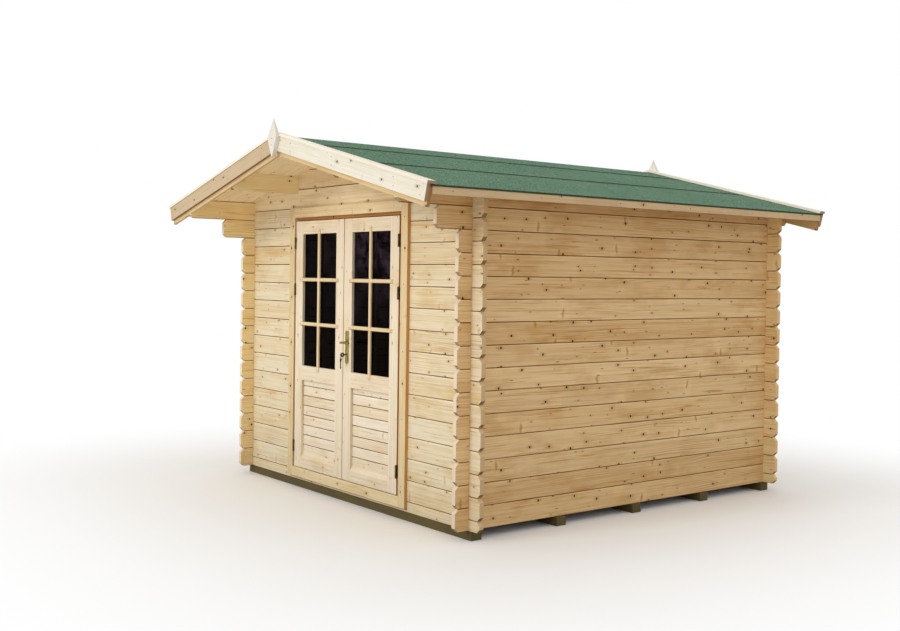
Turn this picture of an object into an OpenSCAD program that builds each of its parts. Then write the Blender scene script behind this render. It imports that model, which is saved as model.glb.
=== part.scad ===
// Log cabin of notched, tongued and grooved wall logs, with a felted saddle roof
// and a pair of half-glazed doors that open outwards.
// The origin is on the ground under the middle bearer. The doors face -Y.

/* [Foundation] */
// Height of a bearer, from the ground to the underside of the walls
bearer_h = 50; // [40:1:90]
// Width of a bearer
bearer_w = 70; // [45:1:100]
// How far a bearer runs past the outer face of a side wall
bearer_out = 20; // [0:1:40]
// How far the outer bearers stand back from the face of the wall above
bearer_back = 4; // [0:1:10]
// Number of bearers, an odd number so that one lies under the middle
bearers = 5; // [3:2:7]
// Thickness of the floor boards
floor_t = 19; // [16:1:28]
// Gap between the floor and the walls
floor_gap = 6; // [3:1:10]

/* [Walls] */
// Width over the outer faces of the side walls
wall_w = 2420; // [2200:10:3000]
// Depth over the outer faces of the front and back walls
wall_d = 2520; // [2200:10:3200]
// Thickness of a log
log_t = 28; // [24:1:40]
// Height of one course of logs
course_h = 121; // [110:1:130]
// Number of courses in a side wall
side_courses = 15; // [14:1:17]
// How far a log runs past the wall that it crosses
log_end = 90; // [70:5:120]
// Chamfer on the corners of a log's end
end_chamfer = 22; // [8:1:28]
// How far the log under the eaves runs out, to carry the eaves log
bracket_out = 235; // [150:5:300]

/* [Log joints] */
// Bevel along the edges of a log, which shows as a V at the seam
seam_bevel = 3; // [1:0.5:5]
// Width of the tongue on a log
tongue_w = 9; // [6:0.5:12]
// Height of the tongue on a log
tongue_h = 7; // [4:0.5:10]
// Clearance of the tongue in its groove
tongue_clear = 0.6; // [0.3:0.1:1]
// Gap between one log and the next
log_gap = 0.3; // [0.2:0.1:0.8]
// Clearance round a log in the notch of another
notch_clear = 0.3; // [0.2:0.1:0.8]

/* [Roof] */
// Pitch of the roof
roof_pitch = 13.9; // [12:0.1:18]
// Thickness of the roof boards
roof_t = 18; // [14:1:24]
// Overhang of the boards past a side wall
eaves_out = 248; // [200:1:320]
// Overhang of the front verge, from the wall to the face of the barge boards
front_out = 495; // [350:1:600]
// Overhang of the back verge, from the wall to the face of the barge boards
back_out = 196; // [140:1:300]
// Thickness of a purlin
purlin_t = 40; // [28:1:60]
// Height of a middle purlin at its centre line
purlin_h = 109; // [90:1:130]
// Height of the ridge purlin
ridge_purlin_h = 94; // [80:1:115]
// Distance of a middle purlin from the ridge line
purlin_x = 613; // [450:1:750]
// Gap under the roof boards
board_gap = 0.1; // [0.05:0.05:0.3]
// Thickness of the roofing felt
felt_t = 2; // [1:0.5:4]
// Gap under each layer of felt
felt_gap = 0.1; // [0.05:0.05:0.3]
// How far the felt is turned down at the eaves
felt_lip = 8; // [6:1:20]
// Overlap of one strip of felt on the next
felt_lap = 80; // [50:5:120]
// Reach of the ridge strip of felt down each slope
felt_ridge = 290; // [200:5:400]
// Exposed width of the middle strip of felt
felt_show = 570; // [400:5:650]

/* [Roof trim] */
// Width of a barge board
barge_w = 88; // [70:1:120]
// Thickness of a barge board, and of the batten behind it
barge_t = 18; // [14:1:24]
// Width of the batten behind a barge board
batten_w = 92; // [60:1:110]
// Thickness of the cap on a barge board
cap_t = 15; // [10:1:22]
// How far a cap stands out over the face of its barge board
cap_lip = 4; // [4:1:30]
// How far a cap reaches in over the felt, past the batten
cap_in = 10; // [0:1:25]
// How far a cap runs past the end of its barge board
cap_out = 6; // [2:1:15]
// Gap at the mitre of two boards at the ridge
mitre_gap = 0.5; // [0.3:0.1:1]
// Height of an eaves trim board
eaves_trim_h = 46; // [35:1:70]
// Thickness of an eaves trim board
eaves_trim_t = 18; // [12:1:24]
// Width of a finial
finial_w = 106; // [80:1:140]
// Height of a finial above its widest point
finial_up = 111; // [70:1:130]
// Depth of a finial below its widest point
finial_down = 112; // [80:1:150]
// Width of the foot of a finial
finial_foot = 8; // [6:1:30]
// Distance of a finial's widest point below the top of the barge boards
finial_drop = 16; // [10:1:40]
// Thickness of a finial
finial_t = 26; // [14:1:28]

/* [Door frame] */
// Width between the jambs
door_w = 1166; // [1000:2:1400]
// Thickness of the jambs and the head
jamb_t = 30; // [24:1:40]
// Depth of the jambs and the head
jamb_d = 54; // [50:1:80]
// How far the door stop reaches in front of the jamb
stop_w = 20; // [12:1:30]
// Gap between a jamb and the ends of the logs
log_clear = 3; // [1:0.5:6]
// Width of an architrave upright
trim_w = 63; // [50:1:90]
// Thickness of the architrave
trim_t = 20; // [12:1:24]
// Height of the architrave head
trim_head_h = 62; // [50:1:90]
// Width of jamb that shows beside the architrave
reveal = 13; // [6:1:18]
// Height of the frame head that shows under the architrave
head_reveal = 18; // [12:1:24]
// Thickness of the threshold
sill_t = 20; // [16:1:28]
// Chamfer along the front edge of the threshold
sill_ease = 5; // [2:0.5:8]
// Height of the architrave and the apron above the underside of the walls
trim_foot = 21; // [10:1:30]
// Thickness of the trim inside the room
inner_trim_t = 12; // [8:1:18]

/* [Door leaves] */
// Gap between a leaf and the frame round it
leaf_gap = 6; // [5:0.5:9]
// Gap between the two leaves
meet_gap = 8; // [6:0.5:12]
// Thickness of a leaf
leaf_t = 40; // [34:1:44]
// How far a leaf stands in front of the wall
leaf_proud = 18; // [8:1:22]
// Width of a stile
stile_w = 86; // [70:1:100]
// Height of the top rail
top_rail_h = 83; // [60:1:110]
// Height of the lock rail
lock_rail_h = 93; // [70:1:120]
// Height of the bottom rail
bottom_rail_h = 94; // [70:1:120]
// Height of the panel that shows between the rails
panel_h = 470; // [350:5:600]
// Thickness of the panel
panel_t = 14; // [10:1:16]
// Thickness of the glass
glass_t = 4; // [3:0.5:6]
// Depth of the grooves that hold the panel and the glass
groove = 9; // [6:1:12]
// How far the panel and the glass stand behind the face of the leaf
panel_back = 17; // [12:1:19]
// Height of the slope on top of the bottom rail, which sheds water
rail_bevel = 30; // [10:1:45]
// Length of the tenons on the rails
tenon_l = 45; // [25:1:60]
// Thickness of the tenons on the rails
tenon_t = 12; // [8:1:14]
// Shoulder above and below a tenon
tenon_in = 18; // [12:1:25]
// Clearance of the panel and the glass in their grooves
fit_clear = 0.3; // [0.2:0.1:0.6]

/* [Hinges and handle] */
// Outer diameter of a hinge knuckle
knuckle_d = 12; // [10:0.5:14]
// Diameter of a hinge pin
pin_d = 6; // [4:0.5:7]
// Clearance between the pin and its knuckle
pin_clear = 0.3; // [0.2:0.1:0.5]
// Height of a hinge
hinge_h = 75; // [50:1:100]
// Thickness of a hinge plate
hinge_t = 2; // [1.5:0.5:2.5]
// Depth of a hinge plate beside the leaf
hinge_d = 25; // [15:1:30]
// Height of the lowest hinge's centre above the foot of the leaf
hinge_low = 132; // [80:1:200]
// Distance of the highest hinge's centre below the top of the leaf
hinge_top = 140; // [80:1:200]
// Distance from the highest hinge to the middle one
hinge_mid = 298; // [200:1:500]
// Width of a handle plate
plate_w = 40; // [30:1:50]
// Height of a handle plate
plate_h = 196; // [150:1:240]
// Radius of the corners of a handle plate
plate_r = 9; // [4:0.5:14]
// Thickness of a handle plate
plate_t = 5; // [3:0.5:7]
// Width of the bevel along a handle plate's sides
plate_bevel = 9; // [4:1:14]
// Distance of the handle plates from the edge of the leaf
plate_x = 41; // [30:1:55]
// Height of the plates' centre above the lower edge of the lock rail
plate_z = 242; // [150:1:300]
// Height of the lever above the centre of the plates
lever_z = 29; // [10:1:50]
// Diameter of the spindle
spindle_d = 9; // [8:0.5:12]
// Clearance of the spindle in the plates
spindle_clear = 0.5; // [0.3:0.1:0.8]
// Diameter of the lever's neck
neck_d = 13; // [11:0.5:20]
// Distance from the plate to the middle of the lever's arm
lever_out = 42; // [35:1:60]
// Length of the lever's arm
lever_len = 86; // [80:1:130]
// Thickness of the lever's arm
lever_t = 10; // [8:0.5:14]
// Height of the lever's arm at its tip
lever_tip = 9; // [6:0.5:14]

/* [Hidden] */
$fn = 48;
// outer and inner faces of the walls
side = wall_w / 2;
side_in = side - log_t;
front = -wall_d / 2;
front_in = front + log_t;
back = wall_d / 2;
back_in = back - log_t;
base = bearer_h;
// the cross walls lie half a course off the side walls, on a half log
half = course_h / 2;
function side_z(k) = base + k * course_h;
function cross_z(k) = base + (k - 0.5) * course_h;
wall_top = side_z(side_courses);
lintel = cross_z(side_courses);
// roof: x and z of points on a slope, n above the underside of the boards
slope = tan(roof_pitch);
lean = cos(roof_pitch);
function roof_z(x, n = 0) = wall_top + (side - log_t / 2 - abs(x)) * slope + n / lean;
ridge = roof_z(0);
function slope_x(s, n) = s * cos(roof_pitch) + n * sin(roof_pitch);
function slope_z(s, n) = ridge - s * sin(roof_pitch) + n * cos(roof_pitch);
function slope_pt(s, n) = [slope_x(s, n), slope_z(s, n)];
eaves = side + eaves_out;
felt_n = [felt_gap, felt_t + 2 * felt_gap];
verge_n = roof_t + felt_n[1] + felt_t + felt_gap;
barge_s = (eaves + eaves_trim_t - verge_n * sin(roof_pitch)) / lean;
verge_front = front - front_out;
verge_back = back + back_out;
boards_front = verge_front + barge_t;
boards_back = verge_back - barge_t;
battens_front = boards_front + barge_t;
battens_back = boards_back - barge_t;
gables = ceil((ridge - lintel) / course_h - 0.1);
ridge_purlin_z = ridge - ridge_purlin_h;
purlin_z = roof_z(purlin_x) - purlin_h;
purlin_chamfer = end_chamfer;
lap_x = [felt_ridge, felt_ridge + felt_show];
finial_z = roof_z(0, verge_n) - finial_drop;
// door frame and leaves, mirrored about x = 0
jamb_x = door_w / 2;
opening = jamb_x + jamb_t + log_clear;
sill_top = base + half + sill_t;
leaf_foot = sill_top + leaf_gap;
leaf_top = lintel - trim_head_h - head_reveal - leaf_gap;
leaf_h = leaf_top - leaf_foot;
head_z = leaf_top + leaf_gap;
leaf_x = jamb_x - leaf_gap;
leaf_w = leaf_x - meet_gap / 2;
leaf_front = front - leaf_proud;
leaf_back = leaf_front + leaf_t;
stop_y = leaf_back + leaf_gap;
trim_x = jamb_x + reveal;
panel_z = leaf_foot + bottom_rail_h;
lock_z = panel_z + panel_h;
glass_z = lock_z + lock_rail_h;
glass_h = leaf_h - bottom_rail_h - panel_h - lock_rail_h - top_rail_h;
rails = [[leaf_foot, bottom_rail_h], [lock_z, lock_rail_h], [leaf_top - top_rail_h, top_rail_h]];
// hinges
hinge_x = jamb_x - leaf_gap / 2;
hinge_y = leaf_front - knuckle_d / 2;
hinge_zs = [leaf_foot + hinge_low, leaf_top - hinge_top - hinge_mid, leaf_top - hinge_top];
// handle, on the right leaf
handle_x = meet_gap / 2 + plate_x;
handle_z = lock_z + plate_z;
spindle_z = handle_z + lever_z;
far = 4000;

spruce = [0.90, 0.78, 0.58];
shade_spruce = [0.82, 0.66, 0.44];
pale = [0.94, 0.88, 0.76];
olive = [0.30, 0.29, 0.20];
felt_green = [0.33, 0.48, 0.39];
brass = [0.72, 0.58, 0.28];
steel = [0.35, 0.34, 0.33];
pane = [0.25, 0.29, 0.30, 0.6];

// Both sides of the cabin, from one drawn at +X
module both() { children(); mirror([1, 0, 0]) children(); }

// A shape drawn in x and z, as a slab from y0 to y1
module slab_y(y0, y1) { translate([0, y1, 0]) rotate([90, 0, 0]) linear_extrude(y1 - y0) children(); }

// A shape drawn in y and z, as a bar from x0 to x1
module bar_x(x0, x1) { translate([x0, 0, 0]) rotate([90, 0, 90]) linear_extrude(x1 - x0) children(); }

// Box between two corners
module box(a, b) { translate(a) cube(b - a); }

// Section of a log: groove below, tongue above, bevelled edges, top falling by fall from side to side
module log_section(h, fall = 0, tongue = true, grooved = true) {
    top = h - log_gap;
    mid = log_t / 2;
    tw = tongue_w / 2;
    gw = tw + tongue_clear;
    gh = tongue_h + tongue_clear;
    polygon(concat(
        [[0, seam_bevel], [seam_bevel, 0]],
        grooved ? [[mid - gw, 0], [mid - gw, gh], [mid + gw, gh], [mid + gw, 0]] : [],
        [[log_t - seam_bevel, 0], [log_t, seam_bevel]],
        tongue ? [[log_t, top - seam_bevel], [log_t - seam_bevel, top], [mid + tw, top],
            [mid + tw, top + tongue_h], [mid - tw, top + tongue_h], [mid - tw, top],
            [seam_bevel, top], [0, top - seam_bevel]] : [[log_t, h - fall], [0, h + fall]]));
}

// Side view of a log from a to b, with chamfered ends and notches over the crossing walls
module log_view(a, b, h, ca, cb, notches = [], low = true, high = true) {
    over = h + course_h;
    difference() {
        polygon([[a, ca], [a + ca, 0], [b - cb, 0], [b, cb], [b, high ? h - cb : over],
            high ? [b - cb - course_h, over] : [b, over],
            high ? [a + ca + course_h, over] : [a, over], [a, high ? h - ca : over]]);
        for (n = notches) {
            if (low) translate([n - notch_clear, -1])
                square([log_t + 2 * notch_clear, course_h / 4 + 1 + notch_clear / 2]);
            translate([n - notch_clear, h - course_h / 4 - notch_clear / 2])
                square([log_t + 2 * notch_clear, 2 * course_h]);
        }
    }
}

// One log lying along X from its own origin, cut to the view given as children
module log(a, b, h = course_h, fall = 0, tongue = true, grooved = true) {
    intersection() {
        bar_x(a, b) log_section(h, fall, tongue, grooved);
        slab_y(-1, log_t + 1) children();
    }
}

// One log of a side wall, x being the face on its right
module side_log(x, k, a, b, fall = 0, top = false) {
    translate([x, 0, side_z(k)]) rotate([0, 0, 90])
        log(a, b, course_h, fall, !top, k > 0)
            log_view(a, b, course_h, end_chamfer, end_chamfer, [front, back_in], true, !top);
}

module side_wall(x, fall) {
    for (k = [0 : side_courses - 3]) side_log(x, k, front - log_end, back + log_end);
    side_log(x, side_courses - 2, front - bracket_out, back + log_end);
    difference() {
        side_log(x, side_courses - 1, boards_front, boards_back, fall, true);
        batten_notches();
    }
}

// One log of a cross wall, from a to b, y being its outer face on the front wall
module cross_log(y, k, a, b) {
    first = k == 0;
    h = first ? half : course_h;
    translate([0, y, first ? base : cross_z(k)])
        log(a, b, h, grooved = !first)
            log_view(a, b, h, a < -side ? end_chamfer : 0, b > side ? end_chamfer : 0,
                [for (n = [-side, side_in]) if (a < n && b > n) n], !first);
}

// The gable logs over a cross wall, cut to the roof and round the purlins
module gable_logs(y) {
    out = side + log_end;
    for (k = [side_courses : side_courses + gables - 1]) {
        last = k == side_courses + gables - 1;
        first = k == side_courses;
        translate([0, y, 0]) intersection() {
            translate([0, 0, cross_z(k)]) bar_x(-out, out)
                log_section(last ? 2 * course_h : course_h, 0, !last);
            slab_y(-1, log_t + 1) difference() {
                intersection() {
                    translate([0, cross_z(k)])
                        log_view(-out, out, 2 * course_h, first ? end_chamfer : 0, first ? end_chamfer : 0,
                            first ? [-side, side_in] : [], true, false);
                    polygon([[-out, base], [out, base], [out, roof_z(out)], [0, ridge], [-out, roof_z(out)]]);
                }
                purlin_holes();
            }
        }
    }
}

// Views of the purlins, grown by the notch clearance
module purlin_holes() {
    w = purlin_t + 2 * notch_clear;
    for (x = [-purlin_x, purlin_x]) translate([x - w / 2, purlin_z - notch_clear]) square([w, far]);
    translate([-w / 2, ridge_purlin_z - notch_clear]) square([w, far]);
}

// Room for the battens in the ends of what runs along the roof
module batten_notches() {
    low = -batten_w - notch_clear;
    for (y = [[boards_front - 1, battens_front + notch_clear], [battens_back - notch_clear, boards_back + 1]])
        slab_y(y[0], y[1]) polygon([[-eaves, roof_z(eaves, low)], [0, roof_z(0, low)],
            [eaves, roof_z(eaves, low)], [eaves, far], [-eaves, far]]);
}

// A purlin along Y, from its view across the roof, with the lower corner of each end cut back
module purlin(z) difference() {
    c = purlin_chamfer;
    intersection() {
        slab_y(boards_front, boards_back) children();
        bar_x(-side, side) polygon([[boards_front, z + c], [boards_front + c, z], [boards_back - c, z],
            [boards_back, z + c], [boards_back, z + far], [boards_front, z + far]]);
    }
    batten_notches();
}

// Band along the right slope from the ridge to s, between two heights above the boards' underside
module slope_band(s, low, high) {
    g = mitre_gap / 2;
    polygon([[g, roof_z(g, low)], [g, roof_z(g, high)], slope_pt(s, high), slope_pt(s, low)]);
}

module foundation_bearers() color(olive) {
    first = front + bearer_back + bearer_w / 2;
    step = -2 * first / (bearers - 1);
    for (i = [0 : bearers - 1])
        box([-side - bearer_out, first + i * step - bearer_w / 2, 0],
            [side + bearer_out, first + i * step + bearer_w / 2, bearer_h]);
}

module floor() color(spruce)
    box([-side_in + floor_gap, front_in + floor_gap, base],
        [side_in - floor_gap, back_in - floor_gap, base + floor_t]);

fall = log_t / 2 * slope;
module left_wall_logs() color(spruce) side_wall(-side_in, fall);
module right_wall_logs() color(shade_spruce) side_wall(side, -fall);

module back_wall_logs() color(spruce)
    for (k = [0 : side_courses - 1]) cross_log(back_in, k, -side - log_end, side + log_end);

// The half log under the front wall, with no tongue in the doorway
module front_sill_log() color(spruce) difference() {
    cross_log(front, 0, -side - log_end, side + log_end);
    box([-opening, front - 1, base + half - log_gap], [opening, front_in + 1, base + course_h]);
}
module front_wall_logs_left() color(spruce)
    for (k = [1 : side_courses - 1]) cross_log(front, k, -side - log_end, -opening);
module front_wall_logs_right() color(spruce)
    for (k = [1 : side_courses - 1]) cross_log(front, k, opening, side + log_end);

module front_gable_logs() color(spruce) gable_logs(front);
module back_gable_logs() color(spruce) gable_logs(back_in);

module roof_purlins() color(spruce) {
    both() purlin(purlin_z) polygon([[purlin_x - purlin_t / 2, purlin_z], [purlin_x + purlin_t / 2, purlin_z],
        [purlin_x + purlin_t / 2, roof_z(purlin_x + purlin_t / 2)],
        [purlin_x - purlin_t / 2, roof_z(purlin_x - purlin_t / 2)]]);
    purlin(ridge_purlin_z) polygon([[-purlin_t / 2, ridge_purlin_z], [purlin_t / 2, ridge_purlin_z],
        [purlin_t / 2, roof_z(purlin_t / 2)], [0, ridge], [-purlin_t / 2, roof_z(purlin_t / 2)]]);
}

module roof_boards() color(spruce) slab_y(boards_front, boards_back)
    polygon([[0, roof_z(0, board_gap)], [0, roof_z(0, roof_t)], [eaves, roof_z(eaves, roof_t)],
        [eaves, roof_z(eaves, board_gap)]]);
module roof_boards_right() roof_boards();
module roof_boards_left() mirror([1, 0, 0]) roof_boards();

// Strip of felt on the right slope from x0 down to x1, raised over the strip below where it laps
function felt_pt(x, n) = [x, roof_z(x, roof_t + n)];
module felt_strip(x0, x1) slab_y(boards_front, boards_back) {
    lap0 = x1 - felt_lap - felt_gap;
    ramp = lap0 - 3 * felt_t;
    low = [[x0, felt_n[0]], [ramp, felt_n[0]], [lap0, felt_n[1]], [x1, felt_n[1]]];
    polygon(concat([for (q = low) felt_pt(q[0], q[1])],
        [for (i = [3 : -1 : 0]) felt_pt(low[i][0], low[i][1] + felt_t)]));
}
module felt_eaves_strips() color(felt_green) both() {
    x0 = lap_x[1] - felt_lap;
    x1 = eaves + eaves_trim_t + felt_gap;
    foot = roof_z(x1, roof_t) - felt_lip;
    slab_y(boards_front, boards_back) polygon([felt_pt(x0, felt_gap), felt_pt(x1, felt_gap), [x1, foot],
        [x1 + felt_t, foot], felt_pt(x1 + felt_t, felt_gap + felt_t), felt_pt(x0, felt_gap + felt_t)]);
}
module felt_middle_strips() color(felt_green) both() felt_strip(lap_x[0] - felt_lap, lap_x[1]);
module felt_ridge_strip() color(felt_green) both() felt_strip(0, lap_x[0]);

module eaves_trims() color(spruce) both() slab_y(battens_front, battens_back) {
    out = eaves + eaves_trim_t;
    foot = roof_z(out, roof_t) - eaves_trim_h;
    polygon([[eaves, foot], [out, foot], [out, roof_z(out, roof_t)], [eaves, roof_z(eaves, roof_t)]]);
}

module barge_boards(y) color(pale) both()
    slab_y(y, y + barge_t) slope_band(barge_s, verge_n - barge_w, verge_n);
module front_barge_boards() barge_boards(verge_front);
module back_barge_boards() barge_boards(boards_back);

module verge_battens(y) color(spruce) both()
    slab_y(y, y + barge_t) slope_band(barge_s, -batten_w, 0);
module front_verge_battens() verge_battens(boards_front);
module back_verge_battens() verge_battens(battens_back);

module cap_view() slope_band(barge_s + cap_out, verge_n, verge_n + cap_t);
module barge_caps(y, lip) color(pale) both() {
    slab_y(y, y + 2 * barge_t + cap_in) cap_view();
    slab_y(lip, lip + cap_lip) difference() { cap_view(); finial_view(notch_clear); }
}
module front_barge_caps() barge_caps(verge_front, verge_front - cap_lip);
module back_barge_caps() barge_caps(battens_back - cap_in, verge_back);

// A diamond board on the faces of the barge boards, widest a little below their top edge
module finial_view(grow = 0) {
    w = finial_w / 2 + grow;
    foot = finial_foot / 2 + grow;
    translate([0, finial_z]) polygon([[0, finial_up + 2 * grow], [w, 0], [foot, -finial_down - grow],
        [-foot, -finial_down - grow], [-w, 0]]);
}
module finial(y) color(pale) intersection() {
    slab_y(y, y + finial_t) finial_view();
    bar_x(-finial_w, finial_w) translate([y, finial_z]) polygon([[0, 0], [0, -finial_down],
        [finial_t, -finial_down], [finial_t, 0], [finial_t / 2, finial_up]]);
}
module front_finial() finial(verge_front - finial_t);
module back_finial() finial(verge_back);

module door_jambs() color(pale) both() translate([0, 0, sill_top]) linear_extrude(head_z - sill_top)
    polygon([[jamb_x, front], [jamb_x + jamb_t, front], [jamb_x + jamb_t, front + jamb_d],
        [jamb_x - stop_w, front + jamb_d], [jamb_x - stop_w, stop_y], [jamb_x, stop_y]]);

module door_head() color(pale) {
    bar_x(-jamb_x - jamb_t, jamb_x + jamb_t)
        polygon([[front, head_z], [front + jamb_d, head_z], [front + jamb_d, head_z + jamb_t],
            [front, head_z + jamb_t]]);
    box([-jamb_x + stop_w, stop_y, head_z - stop_w], [jamb_x - stop_w, front + jamb_d, head_z]);
}

// Threshold on the sill log, with an apron in front of it
module door_threshold() color(pale) {
    inner = front_in + floor_gap / 2;
    face = front - trim_t;
    bar_x(-trim_x, trim_x) polygon([[face, base + trim_foot], [front, base + trim_foot],
        [front, sill_top - sill_t], [inner, sill_top - sill_t], [inner, sill_top],
        [face + sill_ease, sill_top], [face, sill_top - sill_ease]]);
}

module architrave_uprights() color(pale) both()
    box([trim_x, front - trim_t, base + trim_foot], [trim_x + trim_w, front, lintel]);
module architrave_head() color(pale)
    box([-trim_x, front - trim_t, lintel - trim_head_h], [trim_x, front, lintel]);

// Trim in the room: uprights beside the jambs, and a head that hides the settling gap
module inside_trim() color(pale) {
    x = jamb_x + jamb_t;
    both() box([x, front_in, base + half], [x + trim_w, front_in + inner_trim_t, head_z + jamb_t]);
    box([-x - trim_w, front_in, head_z + jamb_t + log_gap],
        [x + trim_w, front_in + inner_trim_t, lintel + log_t]);
}

// Stiles of the right leaf, grooved for the panel and the glass
module leaf_stiles() {
    for (x = [meet_gap / 2, leaf_x - stile_w]) difference() {
        box([x, leaf_front, leaf_foot], [x + stile_w, leaf_back, leaf_top]);
        leaf_grooves();
        for (r = rails) tenon(r, fit_clear);
    }
}

// Tenons of a rail, from one stile into the other
module tenon(r, grow = 0) {
    y = leaf_front + leaf_t / 2;
    t = tenon_t / 2 + grow;
    l = tenon_l + grow;
    box([meet_gap / 2 + stile_w - l, y - t, r[0] + tenon_in - grow],
        [leaf_x - stile_w + l, y + t, r[0] + r[1] - tenon_in + grow]);
}

// Room for the panel and the glass in the right leaf
module leaf_grooves() {
    x0 = meet_gap / 2 + stile_w - groove - fit_clear;
    x1 = leaf_x - stile_w + groove + fit_clear;
    py = leaf_front + panel_back;
    box([x0, py - fit_clear, panel_z - groove - fit_clear],
        [x1, py + panel_t + fit_clear, lock_z + groove + fit_clear]);
    box([x0, py - fit_clear, glass_z - groove - fit_clear],
        [x1, py + glass_t + fit_clear, glass_z + glass_h + groove + fit_clear]);
}

module leaf_rails() {
    x0 = meet_gap / 2 + stile_w;
    x1 = leaf_x - stile_w;
    py = leaf_front + panel_back;
    for (r = rails) {
        difference() {
            box([x0, leaf_front, r[0]], [x1, leaf_back, r[0] + r[1]]);
            leaf_grooves();
            bar_x(x0 - 1, x1 + 1) polygon([[leaf_front, panel_z - rail_bevel], [py, panel_z],
                [py, panel_z + fit_clear], [leaf_front - 1, panel_z + fit_clear],
                [leaf_front - 1, panel_z - rail_bevel]]);
        }
        difference() { tenon(r); leaf_grooves(); }
    }
}

module leaf_sheet(z, h, t) {
    py = leaf_front + panel_back;
    box([meet_gap / 2 + stile_w - groove, py, z - groove],
        [leaf_x - stile_w + groove, py + t, z + h + groove]);
}
module left_leaf_stiles() color(pale) mirror([1, 0, 0]) leaf_stiles();
module left_leaf_rails() color(pale) mirror([1, 0, 0]) leaf_rails();
module left_leaf_panel() color(spruce) mirror([1, 0, 0]) leaf_sheet(panel_z, panel_h, panel_t);
module left_leaf_glass() color(pane) mirror([1, 0, 0]) leaf_sheet(glass_z, glass_h, glass_t);
module right_leaf_stiles() color(pale) difference() {
    leaf_stiles();
    spindle_hole(leaf_front - 1, leaf_back + 1);
}
module right_leaf_rails() color(pale) leaf_rails();
module right_leaf_panel() color(spruce) leaf_sheet(panel_z, panel_h, panel_t);
module right_leaf_glass() color(pane) leaf_sheet(glass_z, glass_h, glass_t);

// Lower half of each hinge, with its pin, on a plate against the jamb
module frame_hinges() color(steel) both() for (z = hinge_zs) {
    low = z - hinge_h / 2;
    translate([hinge_x, hinge_y, low]) cylinder(d = knuckle_d, h = hinge_h / 2 - pin_clear);
    translate([hinge_x, hinge_y, low]) cylinder(d = pin_d, h = hinge_h - pin_d);
    box([jamb_x - hinge_t, hinge_y, low], [jamb_x, front + hinge_d, z - pin_clear]);
}

// Upper half of each hinge, on a plate against the edge of the leaf
module leaf_hinges() color(steel) for (z = hinge_zs) difference() {
    union() {
        translate([hinge_x, hinge_y, z]) cylinder(d = knuckle_d, h = hinge_h / 2);
        box([leaf_x, hinge_y, z], [leaf_x + hinge_t, front + hinge_d, z + hinge_h / 2]);
    }
    translate([hinge_x, hinge_y, z - 1]) cylinder(d = pin_d + 2 * pin_clear, h = hinge_h);
}
module left_leaf_hinges() mirror([1, 0, 0]) leaf_hinges();
module right_leaf_hinges() leaf_hinges();

module spindle_hole(y0, y1) translate([handle_x, y1, spindle_z]) rotate([90, 0, 0])
    cylinder(d = spindle_d + 2 * spindle_clear, h = y1 - y0);

module plate_view() {
    w = plate_w - 2 * plate_r;
    h = plate_h - 2 * plate_r;
    square([plate_w, h], center = true);
    square([w, plate_h], center = true);
    for (x = [-w / 2, w / 2], z = [-h / 2, h / 2]) translate([x, z]) circle(plate_r);
}
module plate() difference() {
    w = plate_w / 2;
    intersection() {
        slab_y(-plate_t, 0) plate_view();
        translate([0, 0, -plate_h]) linear_extrude(2 * plate_h) polygon([[-w, 0], [-w, -plate_t / 3],
            [plate_bevel - w, -plate_t], [w - plate_bevel, -plate_t], [w, -plate_t / 3], [w, 0]]);
    }
    translate([0, 0, lever_z]) rotate([90, 0, 0])
        cylinder(d = spindle_d + 2 * spindle_clear, h = 3 * plate_t, center = true);
}
module handle_plates() color(brass) {
    translate([handle_x, leaf_front, handle_z]) plate();
    translate([handle_x, leaf_back, handle_z]) mirror([0, 1, 0]) plate();
}

// Both levers on their spindle, the outer one at -Y
module handle_lever() color(brass) translate([handle_x, 0, spindle_z]) {
    y0 = leaf_front - plate_t - lever_out;
    y1 = leaf_back + plate_t + lever_out;
    neck = lever_out - spindle_clear;
    rotate([-90, 0, 0]) translate([0, 0, y0]) cylinder(d = spindle_d, h = y1 - y0);
    rotate([-90, 0, 0]) translate([0, 0, y0]) cylinder(d = neck_d, h = neck);
    rotate([-90, 0, 0]) translate([0, 0, y1 - neck]) cylinder(d = neck_d, h = neck);
    for (y = [y0, y1]) slab_y(y - lever_t / 2, y + lever_t / 2) {
        circle(d = neck_d);
        translate([lever_len, 0]) circle(d = lever_tip);
        polygon([[0, neck_d / 2], [0, -neck_d / 2], [lever_len, -lever_tip / 2], [lever_len, lever_tip / 2]]);
    }
}

foundation_bearers();
floor();
left_wall_logs();
right_wall_logs();
back_wall_logs();
front_sill_log();
front_wall_logs_left();
front_wall_logs_right();
front_gable_logs();
back_gable_logs();
roof_purlins();
roof_boards_left();
roof_boards_right();
felt_eaves_strips();
felt_middle_strips();
felt_ridge_strip();
eaves_trims();
front_barge_boards();
back_barge_boards();
front_verge_battens();
back_verge_battens();
front_barge_caps();
back_barge_caps();
front_finial();
back_finial();
door_jambs();
door_head();
door_threshold();
architrave_uprights();
architrave_head();
inside_trim();
left_leaf_stiles();
left_leaf_rails();
left_leaf_panel();
left_leaf_glass();
right_leaf_stiles();
right_leaf_rails();
right_leaf_panel();
right_leaf_glass();
frame_hinges();
left_leaf_hinges();
right_leaf_hinges();
handle_plates();
handle_lever();
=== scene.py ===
# %% [markdown]
# # A small log cabin
# This lesson dresses a garden cabin of interlocking spruce logs: the walls, the felted roof and the pair of
# glazed doors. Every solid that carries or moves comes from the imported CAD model, which loads first and
# never moves. Blender adds the finish of each surface and the small pieces that repeat: boards, bars, nails,
# keys.

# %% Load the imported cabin
import math

import bmesh
import bpy
from mathutils import Matrix, Vector


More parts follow.
